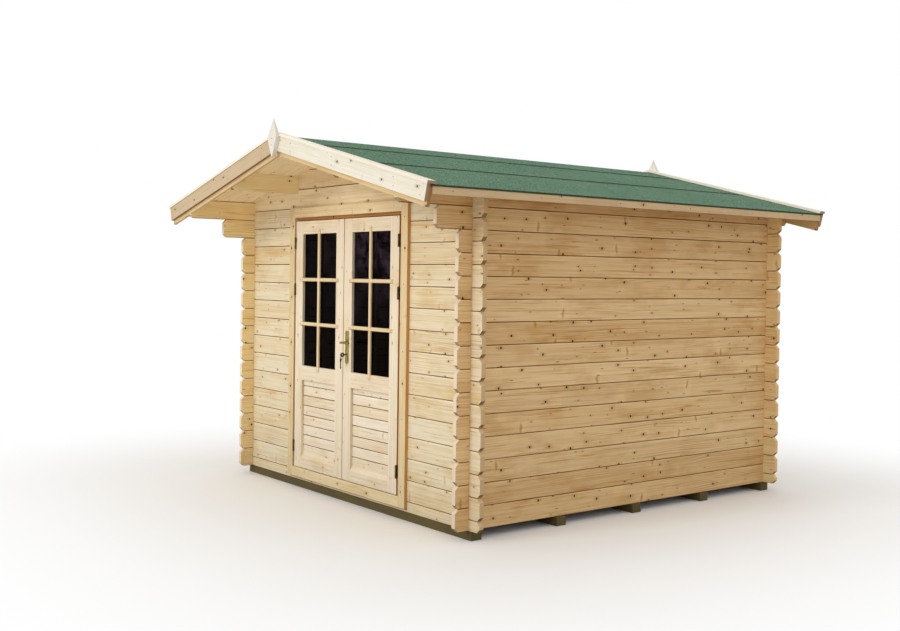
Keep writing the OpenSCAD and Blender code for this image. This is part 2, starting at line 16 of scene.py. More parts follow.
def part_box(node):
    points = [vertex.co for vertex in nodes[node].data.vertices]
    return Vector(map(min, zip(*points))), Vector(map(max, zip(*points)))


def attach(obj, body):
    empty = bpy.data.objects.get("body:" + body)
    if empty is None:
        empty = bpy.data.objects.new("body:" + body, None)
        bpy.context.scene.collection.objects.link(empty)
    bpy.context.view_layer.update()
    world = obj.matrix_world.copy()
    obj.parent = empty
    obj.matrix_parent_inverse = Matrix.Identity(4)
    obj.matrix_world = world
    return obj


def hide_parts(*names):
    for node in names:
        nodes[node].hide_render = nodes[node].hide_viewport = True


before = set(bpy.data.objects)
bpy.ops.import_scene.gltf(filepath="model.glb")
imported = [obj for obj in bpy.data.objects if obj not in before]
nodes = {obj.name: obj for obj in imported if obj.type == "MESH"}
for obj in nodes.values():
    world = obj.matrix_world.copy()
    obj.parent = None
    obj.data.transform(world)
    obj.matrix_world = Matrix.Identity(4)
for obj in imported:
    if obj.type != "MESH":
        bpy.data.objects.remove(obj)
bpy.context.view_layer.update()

# %% [markdown]
# ## The camera
# A picture is matched by placing the camera where the real one stood. The place, the turn and the focal
# length were found by fitting the seams between the logs, so they are written here as plain sizes: metres,
# degrees and pixels of a 900 by 631 image. The picture was cropped, so its optical centre is a little off
# the middle, and the lens shift says by how much.

# %% Place the camera
IMAGE = (900, 631)
CAMERA_AT = Vector((5.656, -4.855, 1.381))
CAMERA_YAW, CAMERA_PITCH, CAMERA_ROLL = (math.radians(a) for a in (52.55, -1.04, 0.78))
FOCAL_PX = 1099.2
CENTRE_PX = (442.6, 295.8)
SENSOR_MM = 36
FAR_CLIP = 200

ahead = Vector((-math.sin(CAMERA_YAW) * math.cos(CAMERA_PITCH),
                math.cos(CAMERA_YAW) * math.cos(CAMERA_PITCH),
                math.sin(CAMERA_PITCH)))
level = Vector((math.cos(CAMERA_YAW), math.sin(CAMERA_YAW), 0))
above = level.cross(ahead)
right = math.cos(CAMERA_ROLL) * level + math.sin(CAMERA_ROLL) * above
up = math.cos(CAMERA_ROLL) * above - math.sin(CAMERA_ROLL) * level

lens = bpy.data.cameras.new("camera")
lens.sensor_width = SENSOR_MM
lens.lens = FOCAL_PX / IMAGE[0] * SENSOR_MM
lens.shift_x = (IMAGE[0] / 2 - CENTRE_PX[0]) / IMAGE[0]
lens.shift_y = (CENTRE_PX[1] - IMAGE[1] / 2) / IMAGE[0]
lens.clip_end = FAR_CLIP
camera = bpy.data.objects.new("camera", lens)
turned = Matrix((right, up, -ahead)).transposed().to_4x4()
camera.matrix_world = Matrix.Translation(CAMERA_AT) @ turned
bpy.context.scene.collection.objects.link(camera)
bpy.context.scene.camera = camera
print("camera: lens", round(lens.lens, 2), "mm, shift", round(lens.shift_x, 4), round(lens.shift_y, 4))

# %% [markdown]
# ## Helpers for node trees
# Shader and geometry nodes are wired in the same way, so one short helper keeps the cells below readable.
# `make` adds a node and fills its inputs, where a socket is linked and a number is set. The others are
# single nodes that every material needs.

# %% Wire nodes in one line
def make(tree, kind, inputs=None, **settings):
    node = tree.nodes.new(kind)
    for key, value in settings.items():
        setattr(node, key, value)
    for key, value in (inputs or {}).items():
        if isinstance(value, bpy.types.NodeSocket):
            tree.links.new(value, node.inputs[key])
        else:
            node.inputs[key].default_value = value
    return node


def calc(tree, operation, *values):
    return make(tree, "ShaderNodeMath", dict(enumerate(values)), operation=operation).outputs[0]


def times(tree, a, b):
    return calc(tree, "MULTIPLY", a, b)


def minus(tree, a, b):
    return calc(tree, "SUBTRACT", a, b)


def ease(tree, value, low, high, to_low=0.0, to_high=1.0):
    """Runs smoothly from to_low to to_high while value goes from low to high."""
    inputs = {"Value": value, "From Min": low, "From Max": high, "To Min": to_low, "To Max": to_high}
    return make(tree, "ShaderNodeMapRange", inputs, interpolation_type="SMOOTHSTEP").outputs[0]


def mix(tree, factor, a, b, mode="MIX"):
    node = make(tree, "ShaderNodeMix", {"Factor": factor}, data_type="RGBA", blend_type=mode)
    for socket, value in ((node.inputs[6], a), (node.inputs[7], b)):
        if isinstance(value, bpy.types.NodeSocket):
            tree.links.new(value, socket)
        else:
            socket.default_value = value
    return node.outputs[2]


print("helpers for numbers and colours ready")

# %% [markdown]
# Places are vectors. `place_of` gives Object coordinates, which here are metres in the cabin's own frame,
# because every object sits at the origin with its place in its mesh. A pattern on them stays put when a door
# swings.

# %% Vectors and noises
def vector(tree, x, y, z):
    return make(tree, "ShaderNodeCombineXYZ", {0: x, 1: y, 2: z}).outputs[0]


def split(tree, value):
    return make(tree, "ShaderNodeSeparateXYZ", {0: value}).outputs


def vmath(tree, operation, *values):
    return make(tree, "ShaderNodeVectorMath", dict(enumerate(values)), operation=operation).outputs[0]


def scaled(tree, place, factor):
    return make(tree, "ShaderNodeVectorMath", {0: place, "Scale": factor}, operation="SCALE").outputs[0]


def length(tree, place):
    return make(tree, "ShaderNodeVectorMath", {0: place}, operation="LENGTH").outputs["Value"]


def place_of(tree):
    return make(tree, "ShaderNodeTexCoord").outputs["Object"]


def normal_of(tree):
    return make(tree, "ShaderNodeNewGeometry").outputs["Normal"]


def noise(tree, place, detail=2.0, rough=0.5):
    inputs = {"Vector": place, "Scale": 1.0, "Detail": detail, "Roughness": rough}
    return make(tree, "ShaderNodeTexNoise", inputs, noise_dimensions="3D").outputs[0]


print("helpers for places ready")

# %% [markdown]
# A finish starts as an empty material. Values that are the same all over are set on the shader's own
# sockets, and only what changes is linked. Colours are written as a screen shows them, 0 to 255, and `srgb`
# makes them linear, as Blender wants.

# %% Start a finish
def srgb(r, g, b):
    shares = [c / 255 for c in (r, g, b)]
    return tuple(c / 12.92 if c <= 0.04045 else ((c + 0.055) / 1.055) ** 2.4 for c in shares) + (1.0,)


def new_finish(name, **sockets):
    material = bpy.data.materials.new(name)
    material.use_nodes = True
    tree = material.node_tree
    surface = tree.nodes["Principled BSDF"]
    for key, value in sockets.items():
        surface.inputs[key.replace("_", " ")].default_value = value
    return material, tree, surface


def bump(tree, surface, height, strength, distance):
    node = make(tree, "ShaderNodeBump", {"Height": height, "Strength": strength, "Distance": distance})
    tree.links.new(node.outputs[0], surface.inputs["Normal"])


print("mid grey in linear light:", round(srgb(128, 128, 128)[0], 3))

# %% [markdown]
# ## Light
# The cabin stands in soft daylight: the front faces the light and the right wall is in shade. A broad sun
# gives the front its brightness, and a pale sky fills the rest. Rays that go straight to the camera, or that
# glass and metal mirror, see the sky as plain white. Two soft lamps low on the ground lift the places under
# the roof.

# %% Sky, sun and fills
scene = bpy.context.scene
scene.view_settings.view_transform = "Standard"
SKY_LOW, SKY_HIGH = 0.97, 0.80
SKY_TINT = (1.0, 0.99, 0.97, 1)
WHITE = (1, 1, 1, 1)
SUN, SUN_ANGLE, SUN_TINT = 0.78, math.radians(16), (1.0, 0.985, 0.96)
SUN_FROM = Vector((-0.14, -1.0, 0.40))
FILLS = (("front_fill", (0.0, -3.3, 0.05), (4.0, 1.5), 42.0),
         ("side_fill", (4.0, 0.0, 0.05), (1.5, 4.0), 20.0))


def seen_rays(tree):
    """1 for rays from the camera and for those that gloss or glass sends on, 0 for light on the object."""
    rays = make(tree, "ShaderNodeLightPath").outputs
    direct = calc(tree, "MAXIMUM", rays["Is Camera Ray"], rays["Is Glossy Ray"])
    return calc(tree, "MAXIMUM", direct, rays["Is Transmission Ray"])


world = bpy.data.worlds.new("sky")
world.use_nodes = True
scene.world = world
sky = world.node_tree
sky.nodes.clear()
outward = make(sky, "ShaderNodeTexCoord").outputs["Generated"]
strength = ease(sky, split(sky, outward)[2], 0.0, 1.0, SKY_LOW, SKY_HIGH)
soft = make(sky, "ShaderNodeBackground", {"Color": SKY_TINT, "Strength": strength}).outputs[0]
white = make(sky, "ShaderNodeBackground", {"Color": WHITE, "Strength": 1.0}).outputs[0]
both = make(sky, "ShaderNodeMixShader", {0: seen_rays(sky), 1: soft, 2: white}).outputs[0]
make(sky, "ShaderNodeOutputWorld", {"Surface": both})

sun_lamp = bpy.data.lights.new("sun", "SUN")
sun_lamp.energy = SUN
sun_lamp.angle = SUN_ANGLE
sun_lamp.color = SUN_TINT
sun = bpy.data.objects.new("sun", sun_lamp)
sun.rotation_euler = (-SUN_FROM).to_track_quat("-Z", "Y").to_euler()
scene.collection.objects.link(sun)

for name, place, size, power in FILLS:
    fill_lamp = bpy.data.lights.new(name, "AREA")
    fill_lamp.shape = "RECTANGLE"
    fill_lamp.size, fill_lamp.size_y = size
    fill_lamp.energy = power
    fill = bpy.data.objects.new(name, fill_lamp)
    fill.location = place
    fill.rotation_euler = (math.pi, 0, 0)
    fill.visible_camera = False
    scene.collection.objects.link(fill)
print("sky", SKY_LOW, "to", SKY_HIGH, ", sun", SUN, "and", len(FILLS), "fills")

# %% [markdown]
# ## Floor
# The floor is one large pale square just under the cabin. It has to show the cabin's shadow and still melt
# into the white background, so its material fades to plain white with the distance from the walls. The light
# that it throws back on the cabin is that of a duller floor, as it would be outdoors.

# %% Pale floor
FLOOR_REACH = 60.0
FLOOR_DROP = 0.0005
FLOOR_SEEN, FLOOR_BOUNCE = srgb(250, 250, 250), srgb(142, 140, 136)
HALF_WALLS = (1.2, 1.25, 0.0)
MELT_FROM, MELT_TO = 0.1, 2.6

corners = [(x * FLOOR_REACH, y * FLOOR_REACH, -FLOOR_DROP) for x, y in ((-1, -1), (1, -1), (1, 1), (-1, 1))]
floor_mesh = bpy.data.meshes.new("studio_floor")
floor_mesh.from_pydata(corners, [], [(0, 1, 2, 3)])
studio_floor = bpy.data.objects.new("studio_floor", floor_mesh)
scene.collection.objects.link(studio_floor)

pale_floor, tree, surface = new_finish("pale_floor", Roughness=0.9)
seen = seen_rays(tree)
tree.links.new(mix(tree, seen, FLOOR_BOUNCE, FLOOR_SEEN), surface.inputs["Base Color"])
from_wall = vmath(tree, "SUBTRACT", vmath(tree, "ABSOLUTE", place_of(tree)), HALF_WALLS)
from_wall = length(tree, vmath(tree, "MAXIMUM", from_wall, (0.0, 0.0, 0.0)))
far_away = times(tree, ease(tree, from_wall, MELT_FROM, MELT_TO), seen)
glow = make(tree, "ShaderNodeEmission", {"Color": WHITE, "Strength": 1.0}).outputs[0]
melt = make(tree, "ShaderNodeMixShader", {0: far_away, 1: surface.outputs[0], 2: glow}).outputs[0]
tree.links.new(melt, tree.nodes["Material Output"].inputs["Surface"])
floor_mesh.materials.append(pale_floor)
print("floor melts into white", MELT_TO, "m from the walls")

# %% [markdown]
# ## Spruce
# Everything but the roof covering and the fittings is planed spruce, and spruce has a direction: the grain
# runs along the log. So the material first names three axes for each kind of piece, along, across and
# through, and every pattern is stretched by them. Walls have one log per course, so the height gives each
# log a number, and a random value from that number shifts its grain and its tone.

# %% Axes of the grain
ROOF_PITCH = math.radians(13.9)
SLOPE = (math.cos(ROOF_PITCH), math.sin(ROOF_PITCH))


def grain_axes(tree, run):
    """Sockets for the place along, across and through a piece, and how squarely a face looks along it."""
    x, y, z = split(tree, place_of(tree))
    nx, ny, nz = split(tree, normal_of(tree))
    if run in ("rake", "roof"):
        out = calc(tree, "ABSOLUTE", x)
        down = minus(tree, times(tree, out, SLOPE[0]), times(tree, z, SLOPE[1]))
        rise = calc(tree, "ADD", times(tree, out, SLOPE[1]), times(tree, z, SLOPE[0]))
        return (down, rise, y, nx) if run == "rake" else (down, y, rise, nx)
    return {"x": (x, z, y, nx), "y": (y, z, x, ny), "z": (z, x, y, nz), "floor": (y, x, z, ny)}[run]


def rows_of(tree, across, start, pitch):
    """The number of the log or board at this place, and the place measured from its middle."""
    count = calc(tree, "DIVIDE", minus(tree, across, start), pitch)
    row = calc(tree, "FLOOR", count)
    in_row = minus(tree, minus(tree, count, row), 0.5)
    return row, times(tree, in_row, pitch)


def stretched(tree, log, along, across, offset):
    """A place in the log with a scale of its own along and across the grain, for a noise."""
    shift = calc(tree, "MULTIPLY_ADD", log["row"], 3.7, offset)
    return vector(tree, times(tree, log["along"], along), times(tree, log["v"], across), shift)


print("roof pitch", round(math.degrees(ROOF_PITCH), 1), "degrees")

# %% [markdown]
# The finish is a stack of layers, each a short function that takes the colour so far and gives it back with
# one thing more. The first ones are the wood itself. Bands and patches lead from sapwood to heartwood.
# Growth rings are a sine of the distance from a wandering pith, and they show only here and there. Streaks
# and stains are long thin noises, and the fibres are the finest of them.

# %% Grain and fibres
STAIN = srgb(200, 146, 74)
STREAK = srgb(184, 130, 70)
YELLOWER = (1.0, 0.975, 0.93, 1)
FIBRE_DARK, FIBRE_LIGHT = (0.5, 0.5, 0.5, 1), (1.5, 1.5, 1.5, 1)
RING_RATE = 520.0


def ring_pattern(tree, log):
    wander = noise(tree, stretched(tree, log, 1.3, 7.0, 3.0), 2.0)
    from_pith = calc(tree, "MULTIPLY_ADD", log["tone"], 0.09, log["v"])
    from_pith = calc(tree, "MULTIPLY_ADD", wander, 0.08, from_pith)
    radius = calc(tree, "SQRT", calc(tree, "MULTIPLY_ADD", from_pith, from_pith, 0.0012))
    wave = calc(tree, "MULTIPLY_ADD", calc(tree, "SINE", times(tree, radius, RING_RATE)), 0.5, 0.5)
    return calc(tree, "POWER", wave, 3.0)


def grain_layer(tree, log, sap, heart, figure):
    bands = noise(tree, stretched(tree, log, 1.2, 75.0, 0.0), 4.0, 0.62)
    patches = noise(tree, stretched(tree, log, 3.2, 7.0, 7.0), 3.0, 0.6)
    tone = calc(tree, "MULTIPLY_ADD", log["tone"], 0.36, ease(tree, bands, 0.40, 0.66, 0.0, 0.32))
    tone = calc(tree, "ADD", tone, ease(tree, patches, 0.46, 0.70, 0.0, 0.34))
    colour = mix(tree, tone, sap, heart)
    ring = ring_pattern(tree, log)
    where = noise(tree, stretched(tree, log, 1.1, 9.0, 40.0), 2.0)
    shown = ease(tree, where, 0.50, 0.70, 0.0, 0.4 * figure)
    colour = mix(tree, times(tree, ring, shown), colour, STREAK)
    streak = noise(tree, stretched(tree, log, 2.4, 130.0, 21.0), 2.0)
    colour = mix(tree, ease(tree, streak, 0.62, 0.70, 0.0, 0.45 * figure), colour, STREAK)
    stain = noise(tree, stretched(tree, log, 1.5, 30.0, 33.0), 5.0, 0.7)
    colour = mix(tree, ease(tree, stain, 0.60, 0.74, 0.0, 0.9 * figure), colour, STAIN)
    return mix(tree, log["hue"], colour, mix(tree, 1.0, colour, YELLOWER, "MULTIPLY")), ring


def fibre_layer(tree, log, colour):
    place = vector(tree, times(tree, log["along"], 6.0), times(tree, log["v"], 330.0),
                   times(tree, log["through"], 330.0))
    fibre = noise(tree, place, 2.0, 0.6)
    return mix(tree, 0.3, colour, mix(tree, fibre, FIBRE_DARK, FIBRE_LIGHT), "MULTIPLY"), fibre


print("rings lie about", round(math.tau / RING_RATE * 1000), "mm apart")

# %% [markdown]
# Spots of every kind share one Voronoi pattern: `spots` tells how far the nearest cell centre lies, in
# metres so that a knot stays round, and a random value of that cell. Knots are dark discs with a ragged rim
# and a warm halo. Spike knots are cut along their length and lie across the grain, and short dashes lie
# along it. Around some of them the wood is a little lighter, where the fibres bend.

# %% Knots
KNOT = srgb(48, 24, 8)
SPIKE = srgb(142, 90, 38)
SHINE = (1.14, 1.13, 1.10, 1)
KNOT_CELL = (0.15, 0.06)
DASH_CELL = (0.36, 0.06)
SPIKE_CELL = (0.50, 0.121)
SMALLEST_KNOT = 0.0012
HALO_SHAPE = (0.45, 1.0, 1.0)


def spots(tree, log, cell):
    across = calc(tree, "MULTIPLY_ADD", log["row"], 3.0, calc(tree, "DIVIDE", log["v"], cell[1]))
    at = vector(tree, calc(tree, "DIVIDE", log["along"], cell[0]), across, 0.0)
    found = make(tree, "ShaderNodeTexVoronoi", {"Vector": at, "Scale": 1.0}, voronoi_dimensions="2D")
    off = vmath(tree, "SUBTRACT", at, found.outputs["Position"])
    chance = make(tree, "ShaderNodeSeparateColor", {0: found.outputs["Color"]}).outputs[0]
    return vmath(tree, "MULTIPLY", off, cell + (0.0,)), chance


def blot(tree, off, half_along, half_across, chance, share):
    """A soft oval round the centre of every cell whose chance is over the share."""
    oval = vmath(tree, "MULTIPLY", off, (1 / half_along, 1 / half_across, 0.0))
    inside = ease(tree, length(tree, oval), 0.4, 1.2, 1.0, 0.0)
    return times(tree, inside, calc(tree, "GREATER_THAN", chance, share))


def spike_layer(tree, log, colour, figure):
    off, chance = spots(tree, log, SPIKE_CELL)
    shine = times(tree, blot(tree, off, 0.05, 0.075, chance, 0.35), 0.3 * figure)
    colour = mix(tree, shine, colour, mix(tree, 1.0, colour, SHINE, "MULTIPLY"))
    sway = noise(tree, stretched(tree, log, 4.0, 22.0, 12.0), 3.0)
    sway = calc(tree, "MULTIPLY_ADD", sway, 0.05, -0.025)
    off = vmath(tree, "ADD", off, vector(tree, sway, 0.0, 0.0))
    spike = times(tree, blot(tree, off, 0.0105, 0.034, chance, 0.62), 0.36 * figure)
    colour = mix(tree, spike, colour, SPIKE)
    off, chance = spots(tree, log, DASH_CELL)
    dash = times(tree, blot(tree, off, 0.014, 0.0022, chance, 0.6), 0.8 * figure)
    return mix(tree, dash, colour, SPIKE)


def knot_layer(tree, log, colour, largest):
    off, chance = spots(tree, log, KNOT_CELL)
    ragged = calc(tree, "ADD", noise(tree, scaled(tree, off, 160.0), 2.0), 0.5)
    size = ease(tree, chance, 0.34, 1.0, 0.0, largest)
    grown = calc(tree, "GREATER_THAN", size, SMALLEST_KNOT)
    from_knot = length(tree, vmath(tree, "MULTIPLY", off, HALO_SHAPE))
    from_knot = calc(tree, "DIVIDE", from_knot, calc(tree, "ADD", size, 0.0005))
    halo = ease(tree, from_knot, 0.8, 2.4, 0.32, 0.0)
    colour = mix(tree, times(tree, halo, grown), colour, STREAK)
    gap = minus(tree, times(tree, length(tree, off), ragged), size)
    disc = ease(tree, gap, -0.0010, 0.0006, 0.97, 0.0)
    return mix(tree, times(tree, disc, grown), colour, KNOT)


print("knots lie about", KNOT_CELL[0] * 1000, "mm apart")

# %% [markdown]
# The last layers belong to the place of a face. A seam is a dark broken line between two logs, with a painted
# highlight on the top edge of the lower one. Faces that look along the grain show end grain with arcs of the
# rings. Faces that look down get a painted shade, a browner tone. The side faces at the outer edges of the
# leaves and of the architrave get painted shade too, and a painted shadow darkens the sill log close under
# the feet of the door frame.

# %% Seams, ends and edges
# dark colour of the seams between logs, also used for the painted shadow under the door frame
SEAM_AND_SHADOW = srgb(112, 58, 16)
# painted highlight: lightens the top edge of the lower log, as if it caught the light
SEAM_HIGHLIGHT = (1.25, 1.24, 1.22, 1)
# painted shade: the tint for faces that look down
UNDERSIDE_SHADE_TINT = (0.34, 0.24, 0.13, 1)
PITH_DROP = 0.03
ARC_RATE = 1100.0


def seam_layer(tree, log, colour, pitch, width):
    from_top = minus(tree, pitch / 2, log["v"])
    # painted highlight along the top edge of the log
    edge = times(tree, ease(tree, from_top, width, width * 1.5), ease(tree, from_top, 0.006, 0.012, 0.5, 0.0))
    colour = mix(tree, edge, colour, mix(tree, 1.0, colour, SEAM_HIGHLIGHT, "MULTIPLY"))
    to_edge = minus(tree, pitch / 2, calc(tree, "ABSOLUTE", log["v"]))
    broken = ease(tree, noise(tree, stretched(tree, log, 5.0, 0.0, 60.0), 2.0), 0.3, 0.6, 0.55, 1.0)
    line = times(tree, ease(tree, to_edge, width * 0.5, width, 0.9, 0.0), broken)
    return mix(tree, line, colour, SEAM_AND_SHADOW)


def end_layer(tree, log, colour, facing, end, heart):
    rise = calc(tree, "POWER", calc(tree, "ADD", log["v"], PITH_DROP), 2.0)
    from_pith = calc(tree, "SQRT", calc(tree, "ADD", rise, calc(tree, "POWER", log["through"], 2.0)))
    arcs = calc(tree, "MULTIPLY_ADD", calc(tree, "SINE", times(tree, from_pith, ARC_RATE)), 0.2, 0.25)
    cut = mix(tree, arcs, end, heart)
    return mix(tree, ease(tree, calc(tree, "ABSOLUTE", facing), 0.5, 0.65), colour, cut)


# painted shade: faces that look down are browned
def underside_shade_layer(tree, colour, shade):
    down = ease(tree, split(tree, normal_of(tree))[2], -0.8, -0.35, shade, 0.0)
    return mix(tree, down, colour, mix(tree, 1.0, colour, UNDERSIDE_SHADE_TINT, "MULTIPLY"))


# painted shade on the side faces at the outer edges of a piece
def side_shade_layer(tree, colour, beyond, tone):
    out = calc(tree, "ABSOLUTE", split(tree, place_of(tree))[0])
    sideways = calc(tree, "ABSOLUTE", split(tree, normal_of(tree))[0])
    shaded_side = times(tree, calc(tree, "GREATER_THAN", out, beyond), ease(tree, sideways, 0.7, 0.9, 0.0, 0.9))
    return mix(tree, shaded_side, colour, tone)


# painted shadow of the door frame on the sill log, just below its feet
def frame_shadow_layer(tree, colour, height, reach):
    x, y, z = split(tree, place_of(tree))
    below = ease(tree, minus(tree, height, z), 0.004, 0.016, 0.85, 0.0)
    within = calc(tree, "LESS_THAN", calc(tree, "ABSOLUTE", x), reach)
    return mix(tree, times(tree, below, within), colour, SEAM_AND_SHADOW)


print("layers of the place ready")

# %% [markdown]
# `spruce` stacks the layers for one kind of piece. `TONES` holds the sapwood and heartwood of each; some
# kinds are copies of one spruce with painted light and painted shade for their parts. `rows` gives the first
# seam and the height of a course, `seed` picks the random values, `figure` says how lively the grain is and
# `shade` how dark the painted shade on faces that look down is. `halves` draws other values left and right of
# the doorway, and `left` gives the left slope tones of its own.

# %% The spruce finish
TONES = {
    "front": ((235, 226, 201), (214, 184, 128)),
    # painted shade: a warmer, darker copy of the front tones for the right wall and the floor
    "side": ((245, 213, 163), (207, 162, 104)),
    # painted shade: a warmer, more orange copy of the front tones for the back wall
    "back": ((255, 236, 186), (240, 198, 134)),
    # painted light: a paler copy for the left wall, whose top log lies under the overhang
    "left": ((255, 236, 184), (240, 202, 138)),
    # painted light: paler tones that brighten the purlins under the roof
    "purlin": ((255, 242, 198), (248, 214, 150)),
    # painted light: paler tones that brighten the underside of the roof boards
    "roof": ((248, 232, 195), (234, 206, 158)),
    # painted shade: a warmer copy of the front tones for the gables under the overhang
    "gable": ((247, 228, 190), (219, 188, 140)),
    "barge": ((238, 236, 224), (226, 214, 190)),
    "worn": ((210, 190, 160), (186, 158, 124)),
    "cap": ((248, 243, 230), (238, 226, 204)),
    "batten": ((238, 214, 170), (216, 182, 132)),
    "finial": ((238, 235, 227), (228, 221, 209)),
    "eaves": ((220, 192, 152), (200, 162, 120)),
    "door": ((243, 233, 214), (221, 197, 158)),
    "frame": ((228, 208, 166), (208, 174, 118)),
    "head": ((238, 220, 180), (218, 188, 138)),
    # painted shade: a dark orange for the jambs and head, which sit in a narrow gap
    "reveal": ((204, 144, 78), (172, 112, 56)),
    "bar": ((238, 221, 186), (216, 187, 140)),
}
SEAM_W = 0.003
KNOT_R = 0.0072


def spruce(name, run, wood, rows=None, seam=SEAM_W, knots=KNOT_R, seed=0.0, halves=False, left=None,
           end=None, shade=0.9, figure=1.0, edge=None, foot=None):
    material, tree, surface = new_finish(name, Roughness=0.66, Specular_IOR_Level=0.12)
    along, across, through, facing = grain_axes(tree, run)
    row, v = rows_of(tree, across, *rows) if rows else (0.0, across)
    part = calc(tree, "SIGN", along) if halves else 0.0
    lot = make(tree, "ShaderNodeTexWhiteNoise", {"Vector": vector(tree, row, part, seed)},
               noise_dimensions="3D")
    shift, tone, hue = make(tree, "ShaderNodeSeparateColor", {0: lot.outputs["Color"]}).outputs
    log = {"row": row, "v": v, "through": through, "tone": tone, "hue": hue,
           "along": calc(tree, "MULTIPLY_ADD", shift, 9.0, along)}
    sap, heart = (srgb(*colour) for colour in TONES[wood])
    if left:
        on_left = calc(tree, "LESS_THAN", split(tree, place_of(tree))[0], 0.0)
        sap, heart = (mix(tree, on_left, a, srgb(*b)) for a, b in zip((sap, heart), TONES[left]))
    colour, ring = grain_layer(tree, log, sap, heart, figure)
    colour, fibre = fibre_layer(tree, log, colour)
    if knots:
        colour = spike_layer(tree, log, colour, figure)
        colour = knot_layer(tree, log, colour, knots)
    if rows:
        colour = seam_layer(tree, log, colour, rows[1], seam)
    colour = end_layer(tree, log, colour, facing, end or sap, heart)
    # painted shade on faces that look down
    colour = underside_shade_layer(tree, colour, shade)
    # painted shade on the outer side faces
    if edge:
        colour = side_shade_layer(tree, colour, *edge)
    # painted shadow under the feet of the door frame
    if foot:
        colour = frame_shadow_layer(tree, colour, *foot)
    tree.links.new(colour, surface.inputs["Base Color"])
    relief = minus(tree, times(tree, fibre, 0.7), times(tree, ring, 0.4))
    bump(tree, surface, relief, 0.15, 0.0012)
    return material


def dress(material, *names):
    for name in names:
        mesh = nodes[name].data
        mesh.materials.clear()
        mesh.materials.append(material)


print("kinds of spruce:", len(TONES))

# %% [markdown]
# The walls come first. Side walls start with a whole log on the bearers and the cross walls with half a log,
# so their seams lie half a course apart.

# %% Dress the walls
COURSE = 0.121
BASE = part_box("foundation_bearers")[1].z
SIDE_ROWS = (BASE, COURSE)
CROSS_ROWS = (BASE - COURSE / 2, COURSE)
FRONT_KNOT = 0.0058
# end grain: the front logs' ends are painted darker as shade, and the side logs' ends paler as sunlit
SHADED_FRONT_LOG_END, SUNLIT_SIDE_LOG_END = srgb(214, 182, 140), srgb(242, 229, 208)
# painted shade: a warmer end tone for the back wall
SHADED_BACK_LOG_END = srgb(240, 200, 142)

frame_low, frame_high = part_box("architrave_uprights")
dress(spruce("front_logs", "x", "front", CROSS_ROWS, knots=FRONT_KNOT, seed=31, halves=True,
             end=SHADED_FRONT_LOG_END, figure=0.8),
      "front_wall_logs_left", "front_wall_logs_right")
# foot paints the door frame's shadow on the sill log
dress(spruce("plain_logs", "x", "front", CROSS_ROWS, knots=FRONT_KNOT, seed=2, end=SHADED_FRONT_LOG_END,
             figure=0.8, foot=(frame_low.z, frame_high.x)),
      "front_sill_log")
dress(spruce("back_logs", "x", "back", CROSS_ROWS, seed=23, end=SHADED_BACK_LOG_END), "back_wall_logs")
dress(spruce("gable_logs", "x", "gable", CROSS_ROWS, seed=3, figure=0.6),
      "front_gable_logs", "back_gable_logs")
dress(spruce("side_logs", "y", "side", SIDE_ROWS, seed=4, end=SUNLIT_SIDE_LOG_END, figure=1.3), "right_wall_logs")
dress(spruce("left_logs", "y", "left", SIDE_ROWS, seed=24, end=SUNLIT_SIDE_LOG_END, shade=0.6), "left_wall_logs")
print("course", COURSE * 1000, "mm, first seam of the sides", round(BASE * 1000, 1), "mm above the ground")

# %% [markdown]
# The boards and posts of roof, doors and frame have no courses, so they need only a direction and a seed.
# Trim that was planed clean has few knots or none, and the sawn ends of the verge boards get a painted shade
# of dark brown.

# %% Dress the trim and the doors
# painted shade: the ends of the verge boards, caps and battens are dark brown
SHADED_BARGE_END, PURLIN_END = srgb(150, 96, 46), srgb(120, 84, 40)
FINIAL_END = srgb(238, 236, 224)
DOOR_KNOT = 0.004
# painted shade on the side faces at the outer edges of the leaves and of the architrave
LEAF_EDGE_SHADE = (0.57, srgb(186, 130, 52))
FRAME_EDGE_SHADE = (0.65, srgb(206, 150, 82))

dress(spruce("purlins", "y", "purlin", seed=5, end=PURLIN_END, shade=0.4, figure=0.5), "roof_purlins")
dress(spruce("eaves_boards", "y", "eaves", seed=6, figure=0.4), "eaves_trims")
dress(spruce("verge_boards", "rake", "barge", seed=7, left="worn", end=SHADED_BARGE_END, figure=0.3),
      "front_barge_boards", "back_barge_boards")
dress(spruce("verge_caps", "rake", "cap", knots=0.0, seed=22, end=SHADED_BARGE_END, figure=0.0),
      "front_barge_caps", "back_barge_caps")
dress(spruce("verge_battens", "rake", "batten", seed=8, end=SHADED_BARGE_END, shade=0.3, figure=0.4),
      "front_verge_battens", "back_verge_battens")
dress(spruce("finials", "z", "finial", knots=0.0, seed=9, end=FINIAL_END, figure=0.0),
      "front_finial", "back_finial")
dress(spruce("door_uprights", "z", "door", knots=DOOR_KNOT, seed=10, figure=0.4, edge=LEAF_EDGE_SHADE),
      "left_leaf_stiles", "right_leaf_stiles")
dress(spruce("door_rails", "x", "door", knots=DOOR_KNOT, seed=11, figure=0.5),
      "left_leaf_rails", "right_leaf_rails")
dress(spruce("frame_uprights", "z", "frame", seed=12, figure=0.5, edge=FRAME_EDGE_SHADE), "architrave_uprights")
dress(spruce("frame_level", "x", "head", seed=13, figure=0.5),
      "architrave_head", "door_threshold", "inside_trim")
# painted shade: the jambs and the head get the dark reveal tones
dress(spruce("reveal_uprights", "z", "reveal", seed=14), "door_jambs")
dress(spruce("reveal_head", "x", "reveal", seed=15), "door_head")
print("spruce on", sum(1 for o in nodes.values() if o.data.materials), "nodes")

